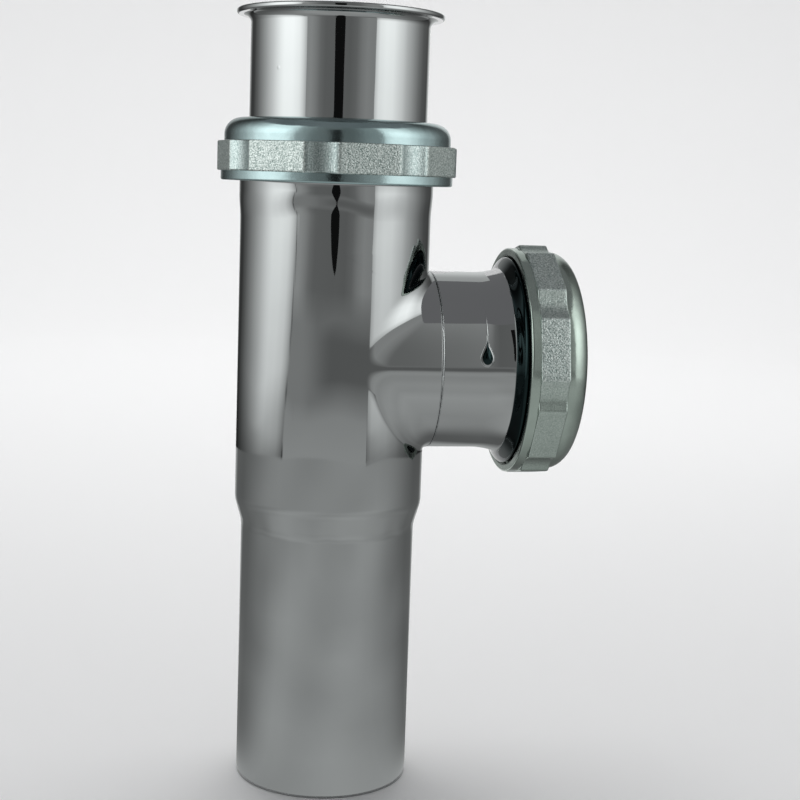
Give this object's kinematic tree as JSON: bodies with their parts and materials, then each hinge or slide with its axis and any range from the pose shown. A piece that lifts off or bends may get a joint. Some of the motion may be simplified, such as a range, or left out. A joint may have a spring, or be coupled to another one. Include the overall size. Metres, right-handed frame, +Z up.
{
  "type": "slip-joint waste tee with flanged tailpiece",
  "caption": "Tubular basin waste tee: flanged tailpiece slips into the top through a screwed slip nut, with a soldered side branch under its own slip nut and a plain outlet below.",
  "frame": {"origin": "centre of the outlet tube's open end, on the surface it stands on", "axes": "+Z up the run to the flanged inlet, +X out along the side branch"},
  "size_m": [0.0774, 0.0514, 0.1673],
  "materials": {
    "chrome_plate": "bright chrome plate on thin drawn brass tube",
    "solder": "soft solder, buffed",
    "zinc_casting": "die-cast zinc, thin plate with a blue-green cast",
    "washer_rubber": "moulded black rubber",
    "ring_brass": "stamped, unplated"
  },
  "bodies": {
    "tee": {"tee_body": "chrome_plate", "branch_sleeve": "chrome_plate", "solder_seam": "solder", "side_washer": "washer_rubber"},
    "upper_seal": {"top_washer": "washer_rubber"},
    "tail_tube": {"tailpiece": "chrome_plate"},
    "upper_ring": {"top_friction_ring": "ring_brass"},
    "upper_nut": {"top_slip_nut": "zinc_casting"},
    "side_ring": {"side_friction_ring": "ring_brass"},
    "side_nut": {"side_slip_nut": "zinc_casting"}
  },
  "joints": [
    {"name": "tailpiece_turn", "type": "hinge", "parent": "tee", "child": "upper_seal", "pos_m": [0, 0, 0.1313], "axis": [0, 0, 1], "continuous": true},
    {"name": "tailpiece_slide", "type": "slide", "parent": "upper_seal", "child": "tail_tube", "axis": [0, 0, 1], "range_m": [-0.015, 0.017]},
    {"name": "top_nut_rise", "type": "slide", "parent": "tee", "child": "upper_ring", "axis": [0, 0, 1], "range_m": [0, 0.00442]},
    {"name": "top_nut_turn", "type": "hinge", "parent": "upper_ring", "child": "upper_nut", "pos_m": [0, 0, 0.1313], "axis": [0, 0, 1], "range_deg": [0, 720]},
    {"name": "side_nut_advance", "type": "slide", "parent": "tee", "child": "side_ring", "axis": [1, 0, 0], "range_m": [0, 0.00442]},
    {"name": "side_nut_turn", "type": "hinge", "parent": "side_ring", "child": "side_nut", "pos_m": [0.0387, 0, 0.0935], "axis": [1, 0, 0], "range_deg": [0, 720]}
  ],
  "couplings": [
    {"joint": "top_nut_rise", "follows": "top_nut_turn", "m_per_rad": 0.00035152},
    {"joint": "side_nut_advance", "follows": "side_nut_turn", "m_per_rad": 0.00035152}
  ]
}
